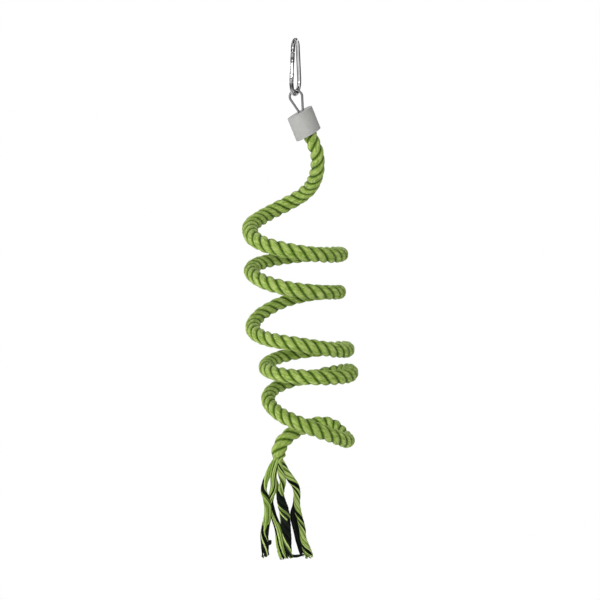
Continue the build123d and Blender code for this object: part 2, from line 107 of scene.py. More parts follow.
# How full the rope is in the lead-in, at each quarter turn and in the lead-out
ROPE_SIZE_SHARES = [1.00, 1.14, 1.12, 1.02, 0.98, 1.04, 1.08, 1.00, 0.94, 1.06, 1.09, 1.05,
                    0.96, 1.01, 1.11, 1.11, 0.95, 1.01, 1.11, 1.04, 1.12]
# Neck at the lower end: its thickness as a share, and the lengths of the taper and of the neck
NECK_SHARE = 0.66
TAPER_LENGTH = 0.0034
NECK_LENGTH = 0.0034
# Core wire along the middle
CORE_WIRE_RADIUS = 0.001
CORE_COLUMNS = 8
CORE_STEP = 0.004
CORE_SHADE = 0.5

# Centre of the neck's lower end and the rope's direction there
NECK_END = Vector((-0.02181, 0.01620, -0.37444))
TAIL_WAY = Vector((-0.025986, -0.112882, -0.993269))

# Binding thread round the neck
BINDING_RADIUS = 0.0035
BINDING_TURNS = 2.5
BINDING_POINTS_PER_TURN = 16
BINDING_PITCH = 0.0012
BINDING_START = 0.0010
BINDING_SHADE = 0.4
THREAD_RADIUS = 0.0003
THREAD_PLIES = 2
THREAD_LAY = 0.0024
THREAD_STEP = 0.0004
THREAD_RESOLUTION = 12
PLY_COLUMNS = 6

# Tassel strands: they start inside the neck, and leave its end on a ring
RING_RADIUS = 0.0037
RING_DROP = 0.0008
ROOT_RISE = 0.0035
ROOT_SHARE = 0.35
# Their routes: side, away and up from the centre of the neck's end, near the solids' as the rope's is
STRAND_ROUTES = [
    [(0.0052, -0.0005, -0.0050), (0.0084, -0.0010, -0.0105), (0.0124, -0.0015, -0.0160),
     (0.0159, -0.0015, -0.0210), (0.0171, -0.0010, -0.0265), (0.0170, -0.0005, -0.0330),
     (0.0170, -0.0005, -0.0400), (0.0185, -0.0010, -0.0470), (0.0205, -0.0015, -0.0540),
     (0.0220, -0.0015, -0.0610), (0.0225, -0.0015, -0.0690), (0.0250, -0.0015, -0.0770),
     (0.0282, -0.0005, -0.0866)],
    [(0.0050, 0.0040, -0.0055), (0.0090, 0.0040, -0.0110), (0.0130, 0.0035, -0.0160),
     (0.0160, 0.0035, -0.0220), (0.0170, 0.0035, -0.0280), (0.0165, 0.0035, -0.0345),
     (0.0160, 0.0035, -0.0405), (0.0137, 0.0030, -0.0465), (0.0140, 0.0030, -0.0520),
     (0.0154, 0.0030, -0.0585), (0.0167, 0.0030, -0.0645), (0.0181, 0.0030, -0.0715),
     (0.0203, 0.0030, -0.0780), (0.0222, 0.0030, -0.0862)],
    [(-0.0030, 0.0040, -0.0070), (-0.0040, 0.0040, -0.0140), (-0.0020, 0.0035, -0.0205),
     (0.0000, 0.0025, -0.0250), (0.0015, 0.0020, -0.0315), (0.0030, 0.0015, -0.0395),
     (0.0040, 0.0010, -0.0475), (0.0050, 0.0010, -0.0560), (0.0050, 0.0010, -0.0650),
     (0.0060, 0.0015, -0.0745), (0.0070, 0.0010, -0.0840)],
    [(-0.0060, -0.0005, -0.0045), (-0.0090, -0.0010, -0.0115), (-0.0120, -0.0015, -0.0195),
     (-0.0130, -0.0010, -0.0255), (-0.0102, -0.0025, -0.0320), (-0.0088, -0.0040, -0.0400),
     (-0.0092, -0.0045, -0.0490), (-0.0110, -0.0035, -0.0570), (-0.0122, -0.0025, -0.0655),
     (-0.0115, -0.0020, -0.0750), (-0.0113, -0.0015, -0.0862)],
    [(-0.0030, -0.0040, -0.0050), (-0.0040, -0.0045, -0.0125), (-0.0033, -0.0042, -0.0215),
     (-0.0056, -0.0012, -0.0295), (-0.0071, 0.0015, -0.0365), (-0.0051, 0.0015, -0.0435),
     (-0.0033, 0.0000, -0.0505), (0.0002, -0.0035, -0.0585), (0.0016, -0.0050, -0.0665),
     (0.0018, -0.0050, -0.0760), (0.0044, -0.0045, -0.0870)],
    [(0.0020, -0.0040, -0.0050), (0.0035, -0.0050, -0.0110), (0.0050, -0.0055, -0.0165),
     (0.0032, -0.0055, -0.0225), (0.0019, -0.0055, -0.0285), (0.0035, -0.0060, -0.0355),
     (0.0058, -0.0055, -0.0425), (0.0071, -0.0055, -0.0505), (0.0075, -0.0055, -0.0595),
     (0.0084, -0.0055, -0.0680), (0.0089, -0.0050, -0.0760), (0.0102, -0.0045, -0.0862)],
]
TASSEL_STEP = 0.0016
# At five places down each strand: turns of its black side from the camera, black share, and bundle size
BLACK_TURNS = [(-0.90, -0.10, 0.68, 1.45, 2.20), (-0.50, -0.20, 0.00, 0.10, 0.20),
               (0.50, 0.50, 0.10, 0.00, 0.20), (-0.60, -0.25, 0.40, 0.50, 0.95),
               (0.60, 0.50, 0.22, 0.32, 0.50), (-2.31, -1.50, -0.69, 0.11, 0.65)]
BLACK_SHARES = [(0.02, 0.38, 0.30, 0.20, 0.22), (0.04, 0.40, 0.92, 0.92, 0.85),
                (0.04, 0.08, 0.60, 0.70, 0.70), (0.04, 0.26, 0.18, 0.97, 0.97),
                (0.04, 0.10, 0.55, 0.25, 0.22), (0.04, 0.15, 0.72, 0.84, 0.84)]
BUNDLE_SHARES = [(1.00, 1.05, 0.90, 0.88, 1.25), (0.75, 0.80, 0.90, 0.90, 0.90),
                 (0.78, 0.82, 0.82, 0.82, 0.82), (0.95, 0.80, 1.00, 1.18, 1.00),
                 (0.95, 0.90, 0.85, 1.08, 1.10), (0.88, 0.90, 1.38, 1.28, 0.90)]
# Yarns of each colour in a bundle, how many of both show at its surface, and how far out they lie
GREEN_YARNS = 11
BLACK_YARNS = 10
SURFACE_YARNS = 11
FEWEST_SURFACE_YARNS = 0.5
SURFACE_RADIUS = 0.0024
SUNK_SHARE = 0.50
RANK_SPREAD = 0.25
YARN_RADIUS = 0.00082
YARN_SIDES = 8
# Yarns are drawn together and thinner at the neck, and spread and thin out at the end
GATHER_LENGTH = 0.012
GATHER_SHARE = 0.80
GATHER_THINNING = 0.4
FRAY_LENGTH = 0.010
FRAY_SPREAD = 0.05
FRAY_DRIFT = 0.0007
FRAY_THINNING = 0.4
END_SPREAD = 0.003
# Wander of each yarn: size, rate along it and row of the noise for the second direction
YARN_DRIFT = 0.0003
DRIFT_RATE = 60
DRIFT_ROW = 9
# Range from which each yarn takes its place in the pattern of fibres
PATTERN_RANGE = 100
# Share of the yarns that have the other colour
STRAY_SHARE = 0.10
# Shades: spread from yarn to yarn, what all but every third yarn add, and the painted shade that the hollows
# between yarns take away
SHADE_SPREAD = 0.25
DEEP_YARN_PERIOD = 3
PALE_YARN_SHADE = 0.32
HOLLOW_PAINTED_SHADE = 0.42
# Loose black ends that leave the strands: radius, then side, away and up from the neck's end
LOOSE_ENDS = [
    (0.0024, [(-0.0110, -0.0022, -0.0742), (-0.0092, -0.0026, -0.0732), (-0.0074, -0.0028, -0.0724),
              (-0.0064, -0.0030, -0.0704)]),
    (0.0014, [(0.0088, -0.0045, -0.0780), (0.0100, -0.0045, -0.0828), (0.0140, -0.0036, -0.0850),
              (0.0185, -0.0015, -0.0850), (0.0235, 0.0010, -0.0845)]),
]
# Thickness at their tips, and the part of the length before they thin out
LOOSE_TIP_SHARE = 0.45
LOOSE_FULL_SHARE = 0.6
LOOSE_SHADE = 0.3

# Fibre: dark, middle and light of each colour, and where they lie on the scale of shades
ROPE_GREENS = [(0.025, 0.06, 0.003), (0.195, 0.32, 0.037), (0.51, 0.63, 0.19)]
YARN_GREENS = [(0.02, 0.05, 0.003), (0.25, 0.40, 0.055), (0.57, 0.69, 0.25)]
YARN_BLACKS = [(0.001, 0.002, 0.001), (0.004, 0.006, 0.004), (0.014, 0.019, 0.012)]
FIBRE_STOP_SHARES = (0.25, 0.75, 1.0)
# Scale of the pattern round a yarn, and along each kind
AROUND_SCALE = 6
ROPE_ALONG_SCALE = 380
YARN_ALONG_SCALE = 300
# Fine streaks and broad patches with what they add to the shade, then the nap and the finish
STREAKS = {"Scale": 1.0, "Detail": 4, "Roughness": 0.6}
STREAK_SHADE = 0.55
PATCHES = {"Scale": 0.35, "Detail": 2, "Roughness": 0.5}
PATCH_SHADE = 0.50
HAIRS = {"Scale": 2.5, "Detail": 3, "Roughness": 0.7}
HAIR_RELIEF = {"Strength": 0.6, "Distance": 0.0004}
FIBRE_FINISH = {"Roughness": 0.92, "Specular IOR Level": 0.06, "Sheen Roughness": 0.6}
GREEN_SHEEN = 0.1
BLACK_SHEEN = 0.02

# Steel: colour, roughness where it is polished and where it is scuffed, and scale of the scuffs
HOOK_COLOUR = (0.76, 0.76, 0.77)
HOOK_ROUGHNESS = (0.05, 0.14)
HOOK_SCALE = 260
WIRE_COLOUR = (0.24, 0.24, 0.24)
WIRE_ROUGHNESS = (0.18, 0.34)
WIRE_SCALE = 420
SCUFFS = {"Detail": 5, "Roughness": 0.65}
SCUFF_GLOSS_RANGE = (0.35, 0.7)
SCUFF_STOP_SHARES = (0.3, 0.8)
SCUFF_RELIEF = {"Strength": 0.08, "Distance": 0.0002}
DULL_SHARE = 0.72
# Painted dark reflections and shade on the hook round its nose, latch, gate foot and lower bend, as a place
# and a reach
PAINTED_DARK_SPOTS = [((0, -0.0068, -0.0055), 0.0075), ((0, -0.0080, -0.0148), 0.0055),
          ((0, -0.0103, -0.0365), 0.0065), ((0, 0, -0.0440), 0.0085)]
# Share of the reach where the painted dark is darkest, how the scuffs break it up, and its colour
DARK_SPOT_CORE_SHARE = 0.35
DARK_SPOT_LIFT = 0.15
DARK_SPOT_PATCHES = 1.4
DARK_SPOT_COLOUR = (0.11, 0.11, 0.11, 1)

# Plastic of the cap
CAP_COLOUR = (0.42, 0.42, 0.405)
CAP_ROUGHNESS = (0.5, 0.68)
MOTTLE = {"Scale": 90, "Detail": 3, "Roughness": 0.55}
MOTTLE_STOP_SHARES = (0.3, 0.7)
DEEP_SHARE = 0.92
PALE_SHARE = 1.08
GRAIN = {"Scale": 1400, "Detail": 2, "Roughness": 0.5}
GRAIN_RELIEF = {"Strength": 0.12, "Distance": 0.0003}

# Studio: white surround, soft lamps, pale floor
WHITE = (1, 1, 1, 1)
AMBIENT = 0.22
FLOOR_HEIGHT = -0.75
FLOOR_RADIUS = 6.0
FLOOR_PLAIN_RADIUS = 0.3
FLOOR_FADE_RADIUS = 0.8
FLOOR_COLUMNS = 64
FLOOR_COLOUR = (0.88, 0.88, 0.87, 1)
FLOOR_ROUGHNESS = 0.8
# Azimuth and elevation in degrees, distance, size and power of each lamp
LAMPS = [("key", 8, 17, 2.2, 0.6, 23), ("left", -62, 10, 2.2, 1.0, 18), ("right", 92, 10, 2.2, 1.2, 3),
         ("top", 20, 80, 1.6, 1.2, 4), ("back", 188, 25, 2.2, 1.2, 26)]
# Dark boards round it, which show only in reflections: azimuth, elevation, width, height, distance
BOARDS = [("board_left", -90, 0, 1.5, 1.6, 1.0), ("board_right", 112, 0, 2.0, 1.6, 1.0),
          ("board_top", 18, 85, 1.2, 0.9, 1.0), ("board_back", 198, 40, 1.6, 0.8, 1.0)]
BOARD_COLOUR = (0.02, 0.02, 0.02, 1)
BOARD_ROUGHNESS = 1.0


# Lines and tubes
def place(side, away, up):
    """Point from its parts along the spiral's axes."""
    return SIDE * side + AWAY * away + UP * up


def ease(start, start_slope, end, end_slope, share):
    """Smooth value between two values with the given slopes."""
    square = share * share
    cube = square * share
    keep = 2 * cube - 3 * square + 1
    return (keep * start + (cube - 2 * square + share) * start_slope
            + (1 - keep) * end + (cube - square) * end_slope)


def smooth(share):
    """Soft step from 0 to 1."""
    share = min(max(share, 0), 1)
    return share * share * (3 - 2 * share)


def between(values, share, is_soft=True):
    """Value at a share of the way along a list of evenly spaced values."""
    spot = min(max(share, 0), 1) * (len(values) - 1)
    first = min(int(spot), len(values) - 2)
    part = smooth(spot - first) if is_soft else spot - first
    return values[first] + (values[first + 1] - values[first]) * part


def spline_points(control, resolution):
    """Points read from a NURBS spline with these control points."""
    data = bpy.data.curves.new("route", "CURVE")
    data.dimensions = "3D"
    data.resolution_u = resolution
    spline = data.splines.new("NURBS")
    spline.points.add(len(control) - 1)
    for point, spot in zip(spline.points, control):
        point.co = (*spot, 1)
    spline.order_u = 3
    spline.use_endpoint_u = True
    holder = bpy.data.objects.new("route", data)
    mesh = bpy.data.meshes.new_from_object(holder)
    points = [vertex.co.copy() for vertex in mesh.vertices]
    bpy.data.objects.remove(holder)
    bpy.data.curves.remove(data)
    bpy.data.meshes.remove(mesh)
    return points


def even_points(points, step):
    """The same line with an even step between its points, that step, and each point's share of the line."""
    total = sum((after - before).length for before, after in zip(points, points[1:]))
    count = round(total / step)
    step = total / count
    spaced = [points[0]]
    shares = [0]
    gone = 0
    for index, (before, after) in enumerate(zip(points, points[1:])):
        run = (after - before).length
        while len(spaced) <= count and gone + run >= step * len(spaced) - step / count:
            part = (step * len(spaced) - gone) / run
            spaced.append(before.lerp(after, part))
            shares.append((index + part) / (len(points) - 1))
        gone += run
    return spaced, step, shares


def carried_frames(points, across):
    """Two directions across the line at each point, carried along without twist."""
    frames = []
    last = len(points) - 1
    for index in range(len(points)):
        way = (points[min(index + 1, last)] - points[max(index - 1, 0)]).normalized()
        across = (across - way * across.dot(way)).normalized()
        frames.append((across, way.cross(across)))
    return frames


class Shape:
    """Vertices and faces of one mesh, gathered tube by tube."""

    def __init__(self):
        self.places = []
        self.marks = []
        self.shades = []
        self.faces = []
        self.paints = []

    def tube(self, rings, marks, shades, paint=0):
        """Closed tube through rings of equal size, with a mark and a shade for each vertex."""
        first = len(self.places)
        size = len(rings[0])
        for ring in rings:
            self.places.extend(ring)
        self.marks.extend(marks)
        self.shades.extend(shades)
        for row in range(len(rings) - 1):
            low = first + row * size
            for column in range(size):
                beside = (column + 1) % size
                self.faces.append((low + column, low + beside, low + size + beside, low + size + column))
        top = first + (len(rings) - 1) * size
        self.faces.append(tuple(range(first + size - 1, first - 1, -1)))
        self.faces.append(tuple(range(top, top + size)))
        self.paints.extend([paint] * (len(self.faces) - len(self.paints)))

    def round_tube(self, middles, frames, radii, columns, step, shade, pattern=0):
        """Round tube of one shade along given middles, with the radius at each of them."""
        rings, marks = [], []
        for index, (middle, (across, other), radius) in enumerate(zip(middles, frames, radii)):
            ring = []
            for column in range(columns):
                angle = 2 * math.pi * column / columns
                ring.append(middle + (across * math.cos(angle) + other * math.sin(angle)) * radius)
                marks.append((math.cos(angle), math.sin(angle) + pattern, index * step))
            rings.append(ring)
        self.tube(rings, marks, [shade] * len(marks))

    def build(self, name, materials):
        """Object of all the tubes, which carries the marks and shades to the fibre materials."""
        mesh = bpy.data.meshes.new(name)
        mesh.from_pydata(self.places, [], self.faces)
        for material in materials:
            mesh.materials.append(material)
        mesh.polygons.foreach_set("material_index", self.paints)
        mesh.shade_smooth()
        mark = mesh.attributes.new("yarn_place", "FLOAT_VECTOR", "POINT")
        mark.data.foreach_set("vector", [number for spot in self.marks for number in spot])
        shade = mesh.attributes.new("yarn_shade", "FLOAT", "POINT")
        shade.data.foreach_set("value", self.shades)
        mesh.update()
        piece = bpy.data.objects.new(name, mesh)
        bpy.context.scene.collection.objects.link(piece)
        return piece


# Materials
def new_material(name):
    """Node material with its principled shader and functions that add and link nodes."""
    material = bpy.data.materials.new(name)
    material.use_nodes = True
    tree = material.node_tree
    shader = tree.nodes["Principled BSDF"]

    def add(kind, **values):
        node = tree.nodes.new(kind)
        for key, value in values.items():
            if key in node.inputs:
                node.inputs[key].default_value = value
            else:
                setattr(node, key, value)
        return node

    return material, shader, add, tree.links.new


def ramp(add, shares, colours):
    """Colour ramp with the given colours at the given shares."""
    node = add("ShaderNodeValToRGB")
    while len(node.color_ramp.elements) < len(colours):
        node.color_ramp.elements.new(1)
    for element, share, colour in zip(node.color_ramp.elements, shares, colours):
        element.position = share
        element.color = (*colour, 1)
    return node


def map_range(add, source=(0, 1), target=(0, 1), **values):
    """Node that maps one range of values to another."""
    node = add("ShaderNodeMapRange", **values)
    node.inputs["From Min"].default_value = source[0]
    node.inputs["From Max"].default_value = source[1]
    node.inputs["To Min"].default_value = target[0]
    node.inputs["To Max"].default_value = target[1]
    return node


def fibre_material(name, colours, along_scale, sheen):
    """Spun cotton: streaks along the yarn, the painted shade of the hollows from the shade attribute, and a
    soft nap.
    """
    material, shader, add, link = new_material(name)
    spot = add("ShaderNodeAttribute", attribute_name="yarn_place")
    shade = add("ShaderNodeAttribute", attribute_name="yarn_shade")
    stretch = add("ShaderNodeMapping", Scale=(AROUND_SCALE, AROUND_SCALE, along_scale))
    link(spot.outputs["Vector"], stretch.inputs["Vector"])
    # The shade attribute holds each yarn's tone together with the painted shade of its hollows
    tone = shade.outputs["Fac"]
    for pattern, amount in ((STREAKS, STREAK_SHADE), (PATCHES, PATCH_SHADE)):
        clouds = add("ShaderNodeTexNoise", **pattern)
        link(stretch.outputs["Vector"], clouds.inputs["Vector"])
        lift = add("ShaderNodeMath", operation="MULTIPLY_ADD")
        link(clouds.outputs["Fac"], lift.inputs[0])
        lift.inputs[1].default_value = amount
        link(tone, lift.inputs[2])
        tone = lift.outputs[0]
    tint = ramp(add, FIBRE_STOP_SHARES, colours)
    link(tone, tint.inputs["Fac"])
    link(tint.outputs["Color"], shader.inputs["Base Color"])
    hairs = add("ShaderNodeTexNoise", **HAIRS)
    link(stretch.outputs["Vector"], hairs.inputs["Vector"])
    relief = add("ShaderNodeBump", **HAIR_RELIEF)
    link(hairs.outputs["Fac"], relief.inputs["Height"])
    link(relief.outputs["Normal"], shader.inputs["Normal"])
    for socket, value in FIBRE_FINISH.items():
        shader.inputs[socket].default_value = value
    shader.inputs["Sheen Weight"].default_value = sheen
    return material


def steel_material(name, colour, roughness, scale, dark_spots=()):
    """Polished steel with faint scuffs that change its gloss, and painted dark reflections and shade round
    given places.
    """
    material, shader, add, link = new_material(name)
    where = add("ShaderNodeTexCoord")
    scuffs = add("ShaderNodeTexNoise", Scale=scale, **SCUFFS)
    link(where.outputs["Object"], scuffs.inputs["Vector"])
    gloss = map_range(add, SCUFF_GLOSS_RANGE, roughness)
    link(scuffs.outputs["Fac"], gloss.inputs["Value"])
    link(gloss.outputs["Result"], shader.inputs["Roughness"])
    dull = tuple(part * DULL_SHARE for part in colour)
    tint = ramp(add, SCUFF_STOP_SHARES, (colour, dull))
    link(scuffs.outputs["Fac"], tint.inputs["Fac"])
    shown = tint.outputs["Color"]
    # Painted dark reflections and shade, darkest near each place
    for centre, reach in dark_spots:
        far = add("ShaderNodeVectorMath", operation="DISTANCE")
        link(where.outputs["Object"], far.inputs[0])
        far.inputs[1].default_value = centre
        near = map_range(add, (reach, reach * DARK_SPOT_CORE_SHARE), interpolation_type="SMOOTHSTEP")
        link(far.outputs["Value"], near.inputs["Value"])
        patchy = add("ShaderNodeMath", operation="MULTIPLY_ADD", use_clamp=True)
        link(scuffs.outputs["Fac"], patchy.inputs[0])
        patchy.inputs[1].default_value = DARK_SPOT_PATCHES
        patchy.inputs[2].default_value = DARK_SPOT_LIFT
        depth = add("ShaderNodeMath", operation="MULTIPLY")
        link(near.outputs["Result"], depth.inputs[0])
        link(patchy.outputs[0], depth.inputs[1])
        darkened = add("ShaderNodeMix", data_type="RGBA", blend_type="MULTIPLY")
        link(depth.outputs[0], darkened.inputs["Factor"])
        # Colours go in at numbers 6 and 7 of this node and come out at number 2
        link(shown, darkened.inputs[6])
        darkened.inputs[7].default_value = DARK_SPOT_COLOUR
        shown = darkened.outputs[2]
    link(shown, shader.inputs["Base Color"])
    relief = add("ShaderNodeBump", **SCUFF_RELIEF)
    link(scuffs.outputs["Fac"], relief.inputs["Height"])
    link(relief.outputs["Normal"], shader.inputs["Normal"])
    shader.inputs["Metallic"].default_value = 1
    return material


def plastic_material(name, colour):
    """Matt moulded plastic: faint mottling, fine grain and a soft gloss."""
    material, shader, add, link = new_material(name)
    where = add("ShaderNodeTexCoord")
    mottle = add("ShaderNodeTexNoise", **MOTTLE)
    link(where.outputs["Object"], mottle.inputs["Vector"])
    deep = tuple(part * DEEP_SHARE for part in colour)
    pale = tuple(part * PALE_SHARE for part in colour)
    tint = ramp(add, MOTTLE_STOP_SHARES, (deep, pale))
    link(mottle.outputs["Fac"], tint.inputs["Fac"])
    link(tint.outputs["Color"], shader.inputs["Base Color"])
    grain = add("ShaderNodeTexNoise", **GRAIN)
    link(where.outputs["Object"], grain.inputs["Vector"])
    relief = add("ShaderNodeBump", **GRAIN_RELIEF)
    link(grain.outputs["Fac"], relief.inputs["Height"])
    link(relief.outputs["Normal"], shader.inputs["Normal"])
    gloss = map_range(add, target=CAP_ROUGHNESS)
    link(mottle.outputs["Fac"], gloss.inputs["Value"])
    link(gloss.outputs["Result"], shader.inputs["Roughness"])
    return material


rope_green = fibre_material("rope_green", ROPE_GREENS, ROPE_ALONG_SCALE, GREEN_SHEEN)
yarn_green = fibre_material("yarn_green", YARN_GREENS, YARN_ALONG_SCALE, GREEN_SHEEN)
yarn_black = fibre_material("yarn_black", YARN_BLACKS, YARN_ALONG_SCALE, BLACK_SHEEN)
hook_steel = steel_material("hook_steel", HOOK_COLOUR, HOOK_ROUGHNESS, HOOK_SCALE, PAINTED_DARK_SPOTS)
wire_steel = steel_material("wire_steel", WIRE_COLOUR, WIRE_ROUGHNESS, WIRE_SCALE)
cap_plastic = plastic_material("cap_plastic", CAP_COLOUR)


# Rope and tassel
def coil_points():
    """Control points of the turns: half circles in plan between bends, at smoothly changing depth."""
    levels = [LEVEL_SHARE_BEFORE, *LEVEL_SHARES, LEVEL_SHARE_AFTER]
    slopes = [FLAT_SLOPE_SHARES.get(quarter, (after - before) / 2)
              for quarter, (before, after) in enumerate(zip(levels, levels[2:]))]
    # The spline cuts inside its control points, so they lie a little outside the circle
    spread = 1 / math.cos(math.pi / 4 / POINTS_PER_QUARTER)
    points = []
    for quarter in range(len(LEVEL_SHARES) - 1):
        half, is_second = divmod(quarter, 2)
        here, beyond = BEND_SIDE_SHARES[half:half + 2]
        middle = (here + beyond) / 2
        radius = (here - beyond) / 2 * spread
        for step in range(POINTS_PER_QUARTER):
            share = (step + 0.5) / POINTS_PER_QUARTER
            angle = (is_second + share) * math.pi / 2
            level = ease(LEVEL_SHARES[quarter], slopes[quarter],
                         LEVEL_SHARES[quarter + 1], slopes[quarter + 1], share)
            side = (middle + radius * math.cos(angle)) * SPIRAL_DIAMETER
            away = radius * math.sin(angle) * SPIRAL_DIAMETER
            points.append(place(side, away, SPIRAL_TOP - level * SPIRAL_HEIGHT))
    return points


rope_control = [place(*spot) for spot in LEAD_IN] + coil_points() + [place(*spot) for spot in LEAD_OUT]
rope_line = spline_points(rope_control, ROUTE_RESOLUTION)


def rope_size(share, left):
    """Thickness of the rope, as a share, at a share of its route and a distance from its lower end."""
    # A spline of order 3 has two spans fewer than control points
    spot = share * (len(rope_control) - 2) + 0.5 - len(LEAD_IN)
    quarter = spot / POINTS_PER_QUARTER
    fullness = between(ROPE_SIZE_SHARES, (quarter + 1) / (len(ROPE_SIZE_SHARES) - 1))
    return fullness * (NECK_SHARE + (1 - NECK_SHARE) * smooth((left - NECK_LENGTH) / TAPER_LENGTH))


def make_rope():
    """Three strands laid round the route and thinner at the neck, with the points that they follow."""
    points, step, route_shares = even_points(rope_line, ROPE_STEP)
    frames = carried_frames(points, SIDE)
    shape = Shape()
    for strand in range(ROPE_STRANDS):
        rings, marks, shades = [], [], []
        for index, (across, other) in enumerate(frames):
            gone = index * step
            lay = (2 * math.pi * gone / LAY_LENGTH
                   + LAY_DRIFT * noise.noise(Vector((gone * LAY_DRIFT_RATE, LAY_DRIFT_ROW, 0))))
            turn = lay + 2 * math.pi * strand / ROPE_STRANDS
            outward = across * math.cos(turn) + other * math.sin(turn)
            sideways = other * math.cos(turn) - across * math.sin(turn)
            size = rope_size(route_shares[index], (len(frames) - 1 - index) * step)
            wobble = ROPE_WOBBLE * noise.noise(Vector((gone * WOBBLE_RATE, WOBBLE_ROW * strand, 0)))
            middle = points[index] + outward * (STRAND_OFFSET * size)
            ring = []
            for column in range(YARN_COLUMNS):
                yarn = 2 * math.pi * column / YARN_COLUMNS
                angle = yarn - YARN_COUNTER_TURN * lay
                ridge = YARN_RIDGE if column % 2 else -YARN_RIDGE
                radius = (STRAND_RADIUS + wobble + ridge) * size
                ring.append(middle + outward * (radius * math.cos(angle))
                            + sideways * (radius * math.sin(angle)))
                marks.append((math.cos(yarn), math.sin(yarn) + PATTERN_STEP * strand, gone))
                # Painted shade: darker in the hollows between strands, palest on the crests
                crest = smooth(math.cos(angle) / ROPE_CREST_SHARE)
                shades.append(ROPE_HOLLOW_PAINTED_SHADE + ROPE_CREST_PAINTED_LIFT * crest)
            rings.append(ring)
        shape.tube(rings, marks, shades)
    rope = shape.build("rope_laid", [rope_green])
    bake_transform(rope)
    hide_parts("rope")
    return rope, points


def make_core_wire():
    """Wire along the middle of the rope."""
    points, step, _ = even_points(rope_line, CORE_STEP)
    shape = Shape()
    shape.round_tube(points, carried_frames(points, SIDE), [CORE_WIRE_RADIUS] * len(points), CORE_COLUMNS,
                     step, CORE_SHADE)
    wire = shape.build("core_wire_bent", [wire_steel])
    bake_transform(wire)
    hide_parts("core_wire")


def make_binding():
    """Two-ply thread wound round the neck."""
    across = (SIDE - TAIL_WAY * SIDE.dot(TAIL_WAY)).normalized()
    other = TAIL_WAY.cross(across)
    control = []
    for index in range(int(BINDING_TURNS * BINDING_POINTS_PER_TURN) + 1):
        angle = 2 * math.pi * index / BINDING_POINTS_PER_TURN
        height = BINDING_START + BINDING_PITCH * index / BINDING_POINTS_PER_TURN
        ray = across * math.cos(angle) + other * math.sin(angle)
        control.append(NECK_END - TAIL_WAY * height + ray * BINDING_RADIUS)
    points, step, _ = even_points(spline_points(control, THREAD_RESOLUTION), THREAD_STEP)
    frames = carried_frames(points, -TAIL_WAY)
    shape = Shape()
    for ply in range(THREAD_PLIES):
        middles = []
        for index, (point, (cross, beside)) in enumerate(zip(points, frames)):
            turn = 2 * math.pi * (index * step / THREAD_LAY + ply / THREAD_PLIES)
            middles.append(point + (cross * math.cos(turn) + beside * math.sin(turn)) * (THREAD_RADIUS / 2))
        shape.round_tube(middles, frames, [THREAD_RADIUS] * len(points), PLY_COLUMNS, step, BINDING_SHADE,
                         PATTERN_STEP * ply)
    binding = shape.build("binding_thread", [yarn_green])
    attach(binding, "tassel")
    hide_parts("tassel_binding")
    return binding


def strand_control(number):
    """Control points of one tassel strand, from inside the neck down its route."""
    angle = 2 * math.pi * number / len(STRAND_ROUTES)
    side = RING_RADIUS * math.cos(angle)
    away = RING_RADIUS * math.sin(angle)
    root = NECK_END - TAIL_WAY * ROOT_RISE + place(side * ROOT_SHARE, away * ROOT_SHARE, 0)
    return [root, *(NECK_END + place(*spot) for spot in [(side, away, -RING_DROP), *STRAND_ROUTES[number]])]


